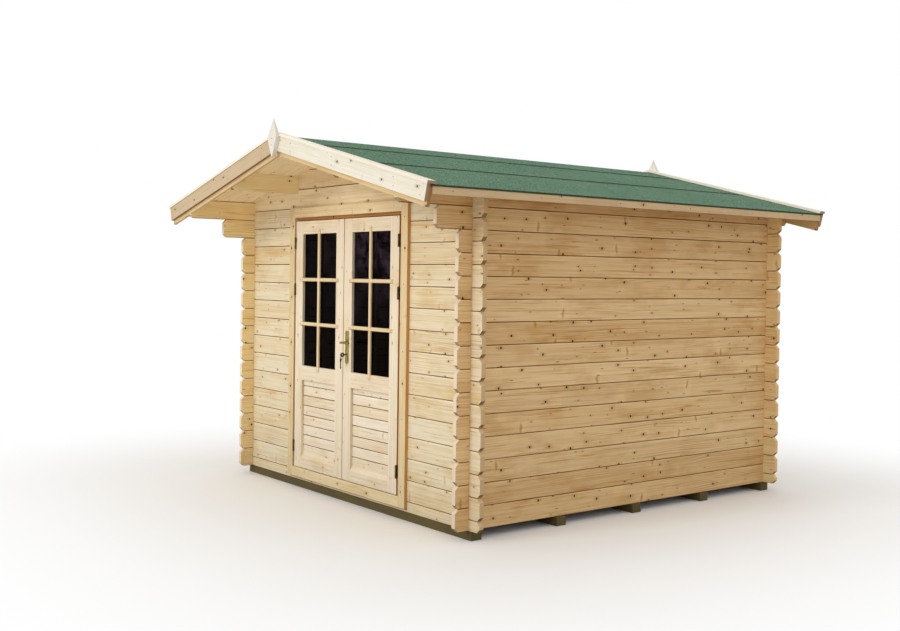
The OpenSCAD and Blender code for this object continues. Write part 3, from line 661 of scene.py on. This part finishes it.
# %% [markdown]
# ## Felt and bearers
# Roofing felt is bitumen pressed with slate grains. Seen close, each grain catches the light by itself, so
# the colour and the bump share one fine noise, and a slow noise adds the blotches of a strip that came off a
# roll. Below the edge of each lap a dark band is bitumen with a painted shadow, and every face that looks
# sideways is darkened, bitumen on the cut edges with painted shade. The bearers are spruce soaked in a green
# preservative.

# %% Finishes of roof and bearers
FELT_LAPS = (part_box("felt_ridge_strip")[1].x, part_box("felt_middle_strips")[1].x)
LAP_SHADE = 0.03
FELT_TONES = (srgb(80, 116, 92), srgb(98, 132, 105))
CLUMP_DARK, CLUMP_PALE = srgb(42, 78, 60), srgb(136, 172, 142)
GRAIN_DARK, GRAIN_PALE = srgb(36, 62, 49), srgb(140, 172, 148)
# bitumen with painted shadow along the laps, and bitumen with painted shade on the sideways edges
BITUMEN_AND_SHADOW, FELT_EDGE_AND_SHADE = srgb(20, 40, 31), srgb(58, 66, 46)


def felt_finish():
    material, tree, surface = new_finish("slate_felt", Roughness=0.92, Specular_IOR_Level=0.15)
    place = place_of(tree)
    grains = noise(tree, scaled(tree, place, 260.0), 3.0, 0.8)
    blotch = noise(tree, scaled(tree, place, 2.2), 4.0, 0.6)
    clumps = noise(tree, scaled(tree, place, 95.0), 3.0, 0.8)
    colour = mix(tree, ease(tree, blotch, 0.3, 0.7), *FELT_TONES)
    colour = mix(tree, ease(tree, clumps, 0.47, 0.60, 0.0, 0.9), colour, CLUMP_DARK)
    colour = mix(tree, ease(tree, clumps, 0.38, 0.48, 0.85, 0.0), colour, CLUMP_PALE)
    colour = mix(tree, ease(tree, grains, 0.5, 0.68, 0.0, 0.7), colour, GRAIN_PALE)
    colour = mix(tree, ease(tree, grains, 0.34, 0.46, 0.7, 0.0), colour, GRAIN_DARK)
    out = calc(tree, "ABSOLUTE", split(tree, place)[0])
    # a dark band just below each lap's edge: bitumen with a painted shadow
    for lap in FELT_LAPS:
        below = minus(tree, out, lap)
        shade = times(tree, ease(tree, below, LAP_SHADE * 0.5, LAP_SHADE, 0.95, 0.0),
                      calc(tree, "GREATER_THAN", below, -0.001))
        colour = mix(tree, shade, colour, BITUMEN_AND_SHADOW)
    # faces that look sideways darken: bitumen with painted shade
    sideways = calc(tree, "ABSOLUTE", split(tree, normal_of(tree))[0])
    colour = mix(tree, ease(tree, sideways, 0.6, 0.8, 0.0, 0.95), colour, FELT_EDGE_AND_SHADE)
    tree.links.new(colour, surface.inputs["Base Color"])
    bump(tree, surface, grains, 0.5, 0.002)
    return material


def treated_finish():
    material, tree, surface = new_finish("treated_timber", Roughness=0.8)
    along, across, through, facing = grain_axes(tree, "x")
    place = vector(tree, times(tree, along, 4.0), times(tree, across, 160.0), times(tree, through, 160.0))
    fibre = noise(tree, place, 3.0)
    patch = noise(tree, vector(tree, times(tree, along, 3.0), across, through), 3.0)
    colour = mix(tree, fibre, srgb(66, 54, 24), srgb(112, 96, 50))
    colour = mix(tree, ease(tree, patch, 0.4, 0.7, 0.0, 0.5), colour, srgb(74, 70, 34))
    tree.links.new(colour, surface.inputs["Base Color"])
    bump(tree, surface, fibre, 0.4, 0.002)
    return material


dress(felt_finish(), "felt_eaves_strips", "felt_middle_strips", "felt_ridge_strip")
dress(treated_finish(), "foundation_bearers")
print("felt laps at", [round(lap, 3) for lap in FELT_LAPS], "m from the ridge")

# %% [markdown]
# ## Fittings and glass
# Metal is one finish in three colours, with a slow smear in colour and roughness, because handled metal is
# never even. The panes are nearly black and only partly clear, a painted shade that stands in for the dark
# room behind them, so only a little of the room shows, under a faint painted reflection of the sky in the
# upper panes.

# %% Finishes of fittings and panes
# painted shade for the dark room behind the panes, and a painted reflection of the sky
PANE_SHADE, PAINTED_SKY_REFLECTION = srgb(5, 2, 2), srgb(62, 50, 62)


def metal_finish(name, bright, dull, roughness):
    material, tree, surface = new_finish(name, Metallic=1.0, Roughness=roughness)
    smear = noise(tree, scaled(tree, place_of(tree), 55.0), 3.0)
    tree.links.new(mix(tree, ease(tree, smear, 0.35, 0.7), bright, dull), surface.inputs["Base Color"])
    worn = ease(tree, smear, 0.3, 0.7, roughness * 0.8, roughness * 1.4)
    tree.links.new(worn, surface.inputs["Roughness"])
    return material


def glass_finish():
    material, tree, surface = new_finish("door_glass", Roughness=0.04, Specular_IOR_Level=0.01, Alpha=0.66)
    place = place_of(tree)
    x, y, z = split(tree, place)
    mottle = noise(tree, scaled(tree, place, 12.0), 4.0, 0.65)
    # painted reflection of the sky, mottled, in the upper panes
    high = times(tree, ease(tree, z, 1.0, 1.6), ease(tree, x, -0.5, 0.4))
    reflection_share = times(tree, ease(tree, mottle, 0.4, 0.65), high)
    tree.links.new(mix(tree, reflection_share, PANE_SHADE, PAINTED_SKY_REFLECTION), surface.inputs["Base Color"])
    return material


brass = metal_finish("brass", srgb(164, 142, 70), srgb(112, 94, 40), 0.32)
dark_steel = metal_finish("dark_steel", srgb(48, 42, 34), srgb(26, 22, 18), 0.5)
bronzed_steel = metal_finish("bronzed_steel", srgb(104, 84, 56), srgb(66, 50, 32), 0.45)
dress(brass, "handle_plates", "handle_lever")
dress(bronzed_steel, "frame_hinges", "left_leaf_hinges", "right_leaf_hinges")
dress(glass_finish(), "left_leaf_glass", "right_leaf_glass")
print("finishes:", len(bpy.data.materials))

# %% [markdown]
# ## Boards in rows
# The roof, the floor and the lower door panels are tongued boards with a small V where they meet. One board
# is a loft: a few cross-sections joined by faces, with the first and last sections cut back to make the V.

# %% One board
V_GROOVE = 0.003
HAIR = 0.0003


def face_out(mesh):
    """Turns every face of a closed mesh outwards."""
    work = bmesh.new()
    work.from_mesh(mesh)
    bmesh.ops.remove_doubles(work, verts=work.verts, dist=1e-6)
    bmesh.ops.recalc_face_normals(work, faces=work.faces)
    work.to_mesh(mesh)
    work.free()
    return mesh


def loft(name, sections):
    """A closed mesh through sections that all have the same number of points."""
    count = len(sections[0])
    points = [p for section in sections for p in section]
    faces = [tuple(range(count))[::-1], tuple(range(len(points) - count, len(points)))]
    for s in range(len(sections) - 1):
        for i in range(count):
            a, b = s * count + i, s * count + (i + 1) % count
            faces.append((a, b, b + count, a + count))
    mesh = bpy.data.meshes.new(name)
    mesh.from_pydata(points, [], faces)
    return face_out(mesh)


def v_cuts(width):
    """Places across a board, and how far its faces are cut back there."""
    return (HAIR, V_GROOVE), (V_GROOVE, 0), (width - V_GROOVE, 0), (width - HAIR, V_GROOVE)


def new_piece(name, mesh):
    piece = bpy.data.objects.new(name, mesh)
    scene.collection.objects.link(piece)
    return piece


print("a V is", 2 * V_GROOVE * 1000, "mm wide")

# %% [markdown]
# A row of boards could be an Array modifier. A Geometry Nodes tree is chosen because its inputs have names:
# the board, the count, the step and the finish. It lays the board along a line of points and makes the
# copies real, and then `settle` turns the result into one plain mesh.

# %% A row of boards
def new_tree(name, **kinds):
    """A tree with named inputs: the tree, the inputs' identifiers and their sockets."""
    tree = bpy.data.node_groups.new(name, "GeometryNodeTree")
    sockets = {}
    for label, kind in kinds.items():
        added = tree.interface.new_socket(label, in_out="INPUT", socket_type="NodeSocket" + kind)
        sockets[label] = added.identifier
    tree.interface.new_socket("Geometry", in_out="OUTPUT", socket_type="NodeSocketGeometry")
    return tree, sockets, tree.nodes.new("NodeGroupInput").outputs


def end_tree(tree, points, model, finish, **turned):
    """Puts the model on every point, makes the copies real and paints them."""
    one = make(tree, "GeometryNodeObjectInfo", {"Object": model}, transform_space="ORIGINAL")
    inputs = {"Points": points, "Instance": one.outputs["Geometry"], **turned}
    laid = make(tree, "GeometryNodeInstanceOnPoints", inputs)
    solid = make(tree, "GeometryNodeRealizeInstances", {0: laid.outputs[0]})
    painted = make(tree, "GeometryNodeSetMaterial", {"Geometry": solid.outputs[0], "Material": finish})
    make(tree, "NodeGroupOutput", {0: painted.outputs[0]})


def settle(piece, group, inputs, values):
    """Runs a tree on a piece and keeps the result as the piece's own plain mesh."""
    modifier = piece.modifiers.new(group.name, "NODES")
    modifier.node_group = group
    for label, value in values.items():
        modifier[inputs[label]] = value
    bpy.context.view_layer.update()
    shape = piece.evaluated_get(bpy.context.evaluated_depsgraph_get())
    mesh = bpy.data.meshes.new_from_object(shape)
    piece.modifiers.clear()
    piece.data = mesh


BOARD_ROW, ROW_INPUTS, given = new_tree("board_row", Board="Object", Count="Int", Step="Vector",
                                        Finish="Material")
line = make(BOARD_ROW, "GeometryNodeMeshLine", {"Count": given["Count"], "Offset": given["Step"]},
            mode="OFFSET")
end_tree(BOARD_ROW, line.outputs[0], given["Board"], given["Finish"])


def lay_row(name, board_mesh, count, step, finish):
    board = new_piece(name + "_one", board_mesh)
    piece = new_piece(name, bpy.data.meshes.new(name))
    settle(piece, BOARD_ROW, ROW_INPUTS, {"Board": board, "Count": count, "Step": step, "Finish": finish})
    bpy.data.objects.remove(board)
    return piece


print("row tree inputs:", ", ".join(ROW_INPUTS))

# %% [markdown]
# The roof boards run from the ridge to the eaves, and their V shows from below under the front overhang. The
# board keeps the slab's own outline: its corners come from the slab's box and the pitch.

# %% Roof boards
ROOF_BOARD_W = 0.088
ROOF_SEAM, ROOF_KNOT = 0.002, 0.004

roof_low, roof_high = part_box("roof_boards_right")
roof_count = round((roof_high.y - roof_low.y) / ROOF_BOARD_W)
roof_step = (roof_high.y - roof_low.y) / roof_count


def roof_board(side, width):
    low, high = roof_low, roof_high
    rise = high.x * math.tan(ROOF_PITCH)
    outline = ((0, low.z + rise), (high.x, low.z), (high.x, high.z - rise), (0, high.z))
    sections = []
    for y, cut in v_cuts(width):
        cuts = (cut, cut, 0, 0)
        sections.append([(side * x, low.y + y, z + lift) for (x, z), lift in zip(outline, cuts)])
    return loft("roof_board", sections)


roof_spruce = spruce("roof_spruce", "roof", "roof", (roof_low.y, roof_step), ROOF_SEAM, ROOF_KNOT, 16,
                     shade=0.0, figure=0.4)
for side, word in ((-1, "left"), (1, "right")):
    boards = lay_row("soffit_boards_" + word, roof_board(side, roof_step), roof_count, (0, roof_step, 0),
                     roof_spruce)
    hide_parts("roof_boards_" + word)
    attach(boards, "cabin")
print("roof boards:", roof_count, "on each slope,", round(roof_step * 1000, 1), "mm wide")

# %% [markdown]
# The floor boards run from the doors to the back wall, with the V on their upper side.

# %% Floor boards
FLOOR_BOARD_W = 0.094

floor_low, floor_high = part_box("floor")
floor_count = round((floor_high.x - floor_low.x) / FLOOR_BOARD_W)
floor_step = (floor_high.x - floor_low.x) / floor_count


def floor_board(width):
    low, high = floor_low, floor_high
    sections = []
    for x, cut in v_cuts(width):
        outline = ((low.y, low.z), (high.y, low.z), (high.y, high.z - cut), (low.y, high.z - cut))
        sections.append([(low.x + x, y, z) for y, z in outline])
    return loft("floor_board", sections)


floor_spruce = spruce("floor_spruce", "floor", "side", (floor_low.x, floor_step), seed=17)
boarding = lay_row("floor_boards", floor_board(floor_step), floor_count, (floor_step, 0, 0), floor_spruce)
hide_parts("floor")
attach(boarding, "cabin")
print("floor boards:", floor_count)

# %% [markdown]
# The door panels are narrower boards laid level, with a V on both faces. A panel isn't a whole number of
# boards high, so the top one is a board of its own, cut to fit under the lock rail.

# %% Door panels
PANEL_BOARD_W = 0.0631
PANEL_SEED = 18
LEAVES = ("left_leaf", "right_leaf")


def panel_board(low, high, foot, width):
    sections = []
    for z, cut in v_cuts(width):
        outline = ((low.x, low.y + cut), (high.x, low.y + cut), (high.x, high.y - cut), (low.x, high.y - cut))
        sections.append([(x, y, foot + z) for x, y in outline])
    return loft("panel_board", sections)


for leaf in LEAVES:
    low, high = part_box(leaf + "_panel")
    panel_spruce = spruce(leaf + "_panel_spruce", "x", "door", (low.z, PANEL_BOARD_W), knots=DOOR_KNOT,
                          seed=PANEL_SEED + low.x, figure=0.8)
    full = int((high.z - low.z) / PANEL_BOARD_W)
    panel = lay_row(leaf + "_panel_boards", panel_board(low, high, low.z, PANEL_BOARD_W), full,
                    (0, 0, PANEL_BOARD_W), panel_spruce)
    top_foot = low.z + full * PANEL_BOARD_W
    top = new_piece(leaf + "_top_board", panel_board(low, high, top_foot, high.z - top_foot))
    top.data.materials.append(panel_spruce)
    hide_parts(leaf + "_panel")
    for piece in (panel, top):
        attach(piece, leaf)
print("panel boards per leaf:", full + 1)

# %% [markdown]
# ## Window bars
# Each pane is crossed by one upright and two level bars, on both faces of the leaf. They are laid on after
# glazing: thin ends lap over the stiles and rails and are nailed there, and the middle is thicker and
# reaches a little into the opening, clear of the glass. A bar is a loft along its length with bevelled front
# edges, so the lapped ends come from pulling the back of the end sections forward.

# %% One bar
BAR_W = 0.023
BAR_LAP = 0.030
BAR_TIP = 0.006
BAR_FRONT = 0.007
BAR_BEVEL = 0.003
BAR_REACH = 0.004
LEVEL_SET_BACK = 0.0004


def bar_sections(start, stop):
    """Place, front and back of a bar along its length, from the tip of one lap to the tip of the other."""
    tip = BAR_FRONT - BAR_BEVEL
    return [(start - BAR_LAP, tip, HAIR), (start - BAR_LAP + BAR_TIP, BAR_FRONT, HAIR),
            (start, BAR_FRONT, HAIR), (start, BAR_FRONT, -BAR_REACH),
            (stop, BAR_FRONT, -BAR_REACH), (stop, BAR_FRONT, HAIR),
            (stop + BAR_LAP - BAR_TIP, BAR_FRONT, HAIR), (stop + BAR_LAP, tip, HAIR)]


def glazing_bar(start, stop, centre, face, out, upright):
    """A bar on the face of a leaf at y = face, which looks towards out."""
    w, b = BAR_W / 2, BAR_BEVEL
    lower = 0.0 if upright else LEVEL_SET_BACK
    sections = []
    for place, front, back in bar_sections(start, stop):
        front -= lower
        outline = ((-w, back), (w, back), (w, front - b), (w - b, front), (b - w, front), (-w, front - b))
        points = [(centre + u, face + out * d) for u, d in outline]
        sections.append([(u, y, place) if upright else (place, y, u) for u, y in points])
    return loft("bar", sections)


print("a bar is", BAR_W * 1000, "mm wide and laps", BAR_LAP * 1000, "mm")

# %% [markdown]
# The opening is the glass less its groove. The level bars lie at shares of its height, and the tips of all
# bars are kept, because each gets a nail later.

# %% Bars on the glass
LEVEL_BARS = (0.345, 0.680)
GROOVE = 0.009
NAIL_IN = 0.018
NAIL_SINK = 0.0005
TO_FRONT, TO_BACK = (0, -1, 0), (0, 1, 0)

upright_bars = spruce("upright_bars", "z", "bar", knots=0.0, seed=20)
level_bars = spruce("level_bars", "x", "bar", knots=0.0, seed=21)
bar_tips = {}
for leaf in LEAVES:
    low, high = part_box(leaf + "_glass")
    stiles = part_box(leaf + "_stiles")
    x0, x1, z0, z1 = low.x + GROOVE, high.x - GROOVE, low.z + GROOVE, high.z - GROOVE
    centre = (x0 + x1) / 2
    heights = [z1 - share * (z1 - z0) for share in LEVEL_BARS]
    tips = [(centre, z0 - NAIL_IN), (centre, z1 + NAIL_IN)]
    tips += [(x, height) for height in heights for x in (x0 - NAIL_IN, x1 + NAIL_IN)]
    bar_tips[leaf] = []
    for word, face, look in (("", stiles[0].y, TO_FRONT), ("_inner", stiles[1].y, TO_BACK)):
        out = look[1]
        bars = [(leaf + word + "_upright_bar", glazing_bar(z0, z1, centre, face, out, True), upright_bars)]
        for k, height in enumerate(heights):
            mesh = glazing_bar(x0, x1, height, face, out, False)
            bars.append((f"{leaf}{word}_level_bar_{k}", mesh, level_bars))
        for name, mesh, finish in bars:
            mesh.materials.append(finish)
            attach(new_piece(name, mesh), leaf)
        bar_tips[leaf] += [((x, face + out * (BAR_FRONT - NAIL_SINK), z), look) for x, z in tips]
print("bars per leaf:", 2 * (1 + len(LEVEL_BARS)))

# %% [markdown]
# ## Nails and screws
# One round head serves everywhere. A second Geometry Nodes tree puts it on the points of a mesh that has no
# faces, and each point carries a vector called `look` that says which way its head faces.

# %% Heads on points
HEAD_SIDES = 12
HEAD_RINGS = ((0.9, -0.4), (1.0, 0.2), (0.8, 0.75), (0.35, 1.0))


def head(radius, height):
    """A low dome on +Z with a short shank below it, as shares of its radius and height."""
    turns = [math.tau * k / HEAD_SIDES for k in range(HEAD_SIDES)]
    sections = []
    for share, rise in HEAD_RINGS:
        r = radius * share
        sections.append([(r * math.cos(a), r * math.sin(a), height * rise) for a in turns])
    return loft("head", sections)


HEADS, HEAD_INPUTS, given = new_tree("heads_on_points", Points="Geometry", Head="Object", Finish="Material")
look = make(HEADS, "GeometryNodeInputNamedAttribute", {"Name": "look"}, data_type="FLOAT_VECTOR").outputs[0]
turn = make(HEADS, "FunctionNodeAlignRotationToVector", {"Vector": look}, axis="Z").outputs[0]
end_tree(HEADS, given["Points"], given["Head"], given["Finish"], Rotation=turn)


def set_heads(name, places, head_mesh, finish, body):
    """One mesh with a head at each (point, look)."""
    points = bpy.data.meshes.new(name)
    points.from_pydata([point for point, look in places], [], [])
    looks = points.attributes.new("look", "FLOAT_VECTOR", "POINT")
    for entry, (point, look) in zip(looks.data, places):
        entry.vector = look
    one = new_piece(name + "_one", head_mesh)
    piece = new_piece(name, points)
    settle(piece, HEADS, HEAD_INPUTS, {"Head": one, "Finish": finish})
    bpy.data.objects.remove(one)
    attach(piece, body)


print("head tree inputs:", ", ".join(HEAD_INPUTS))

# %% [markdown]
# Nails hold the barge boards where the purlins end, the finials, the eaves boards, the architrave and the
# tips of the window bars. Their places come from the boxes of those pieces, so they stay put if a size
# changes.

# %% Nails
NAIL = (0.0028, 0.0009)
BARGE_NAIL_X = (0.17, 0.613, 1.195, 1.42)
BARGE_NAIL_DROPS = (0.022, 0.066)
FINIAL_NAILS = (0.3, 0.47)
EAVES_NAILS, EAVES_NAIL_IN, EAVES_NAIL_UP = 6, 0.12, 0.02
TRIM_NAILS, TRIM_NAIL_FOOT, TRIM_NAIL_STEP, TRIM_NAIL_IN = 5, 0.12, 0.38, 0.033

nails = []
for word, look, end in (("front", TO_FRONT, 0), ("back", TO_BACK, 1)):
    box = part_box(word + "_barge_boards")
    for x in BARGE_NAIL_X:
        for drop in BARGE_NAIL_DROPS:
            height = box[1].z - x * math.tan(ROOF_PITCH) - drop
            nails += [((side * x, box[end].y, height), look) for side in (-1, 1)]
    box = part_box(word + "_finial")
    nails += [((0, box[end].y, box[0].z + share * (box[1].z - box[0].z)), look) for share in FINIAL_NAILS]

low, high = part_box("eaves_trims")
eaves_step = (high.y - low.y - 2 * EAVES_NAIL_IN) / (EAVES_NAILS - 1)
for k in range(EAVES_NAILS):
    place = low.y + EAVES_NAIL_IN + k * eaves_step
    nails += [((side * high.x, place, low.z + EAVES_NAIL_UP), (side, 0, 0)) for side in (-1, 1)]
for k in range(TRIM_NAILS):
    height = frame_low.z + TRIM_NAIL_FOOT + TRIM_NAIL_STEP * k
    nails += [((side * (frame_high.x - TRIM_NAIL_IN), frame_low.y, height), TO_FRONT) for side in (-1, 1)]
set_heads("cabin_nails", nails, head(*NAIL), dark_steel, "cabin")
for leaf, tips in bar_tips.items():
    set_heads(leaf + "_nails", tips, head(*NAIL), dark_steel, leaf)
print("nails on the cabin:", len(nails))

# %% [markdown]
# Two screws hold each handle plate. They are the same head, a little larger and in brass.

# %% Screws
SCREW = (0.0034, 0.0014)
SCREW_IN = 0.014

low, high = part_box("handle_plates")
plate_middle, plate_face = (low.x + high.x) / 2, low.y
screws = []
for height in (low.z + SCREW_IN, high.z - SCREW_IN):
    screws += [((plate_middle, low.y, height), TO_FRONT), ((plate_middle, high.y, height), TO_BACK)]
set_heads("plate_screws", screws, head(*SCREW), brass, "right_leaf")
print("screws:", len(screws))

# %% [markdown]
# ## Keys
# A key stands in the lock below the lever and a second one hangs from its ring. A key's bow is a flat ring,
# made from four circles joined in a closed band. The shank is a rod and the bit a small plate, so a key is
# three simple forms that share one mesh. The keys stay with the right leaf and turn nothing here.

# %% Rings and rods
BAND_SIDES = 24
UP = Vector((0, 0, 1))


def band(centre, outer, inner, depth, normal, stretch=1.0):
    """A flat ring: outer and inner circles on two faces, joined all round."""
    across = UP.cross(normal).normalized()
    rise = normal.cross(across)
    points = []
    for radius, side in ((outer, 0.5), (outer, -0.5), (inner, -0.5), (inner, 0.5)):
        for k in range(BAND_SIDES):
            a = math.tau * k / BAND_SIDES
            spoke = math.cos(a) * stretch * across + math.sin(a) * rise
            points.append(centre + radius * spoke + side * depth * normal)
    faces = []
    for ring in range(4):
        here, there = ring * BAND_SIDES, (ring + 1) % 4 * BAND_SIDES
        for k in range(BAND_SIDES):
            after = (k + 1) % BAND_SIDES
            faces.append((here + k, here + after, there + after, there + k))
    return points, faces


def rod(start, stop, radius, sides=12):
    along = (stop - start).normalized()
    across = along.orthogonal().normalized()
    rise = along.cross(across)
    points = []
    for end in (start, stop):
        for k in range(sides):
            a = math.tau * k / sides
            points.append(end + radius * (math.cos(a) * across + math.sin(a) * rise))
    faces = [tuple(range(sides)), tuple(range(2 * sides - 1, sides - 1, -1))]
    faces += [(k, k + sides, (k + 1) % sides + sides, (k + 1) % sides) for k in range(sides)]
    return points, faces


def joined(name, forms):
    points, faces = [], []
    for more_points, more_faces in forms:
        faces += [tuple(i + len(points) for i in face) for face in more_faces]
        points += more_points
    mesh = bpy.data.meshes.new(name)
    mesh.from_pydata(points, [], faces)
    return face_out(mesh)


print("a ring has", BAND_SIDES * 4, "faces")

# %% [markdown]
# The ring goes through the bow of the key in the lock, and the second key hangs from it by its own weight.

# %% Keys in the lock
LOCK_HEIGHT, LOCK_LEFT = 0.897, 0.004
BOW = (0.0132, 0.0046, 0.0034)
BOW_STRETCH = 1.1
KEY_RING = (0.0140, 0.0116, 0.0022)
SHANK_R, HANGING_R, BIT_R = 0.0034, 0.0030, 0.0026

lock = Vector((plate_middle - LOCK_LEFT, plate_face, LOCK_HEIGHT))
bow = lock + Vector((0, -0.026, 0))
hang = bow + Vector((0, -0.008, -0.016))
second = hang + Vector((-0.003, -0.002, -0.018))
in_lock = [rod(lock + Vector((0, 0.004, 0)), bow + Vector((0, 0.009, 0)), SHANK_R),
           band(bow, *BOW, Vector((1, 0, 0)), BOW_STRETCH)]
ring = [band(hang, *KEY_RING, Vector((0.9, 0.5, 0)).normalized())]
hanging = [band(second, *BOW, Vector((0.3, 1, 0)).normalized()),
           rod(second + Vector((0, 0, -0.011)), second + Vector((0, 0, -0.050)), HANGING_R),
           rod(second + Vector((0, 0, -0.041)), second + Vector((0.009, 0, -0.041)), BIT_R, 4)]
keys = new_piece("keys", joined("keys", in_lock + ring + hanging))
keys.data.materials.append(dark_steel)
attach(keys, "right_leaf")
print("keys:", len(keys.data.polygons), "faces")
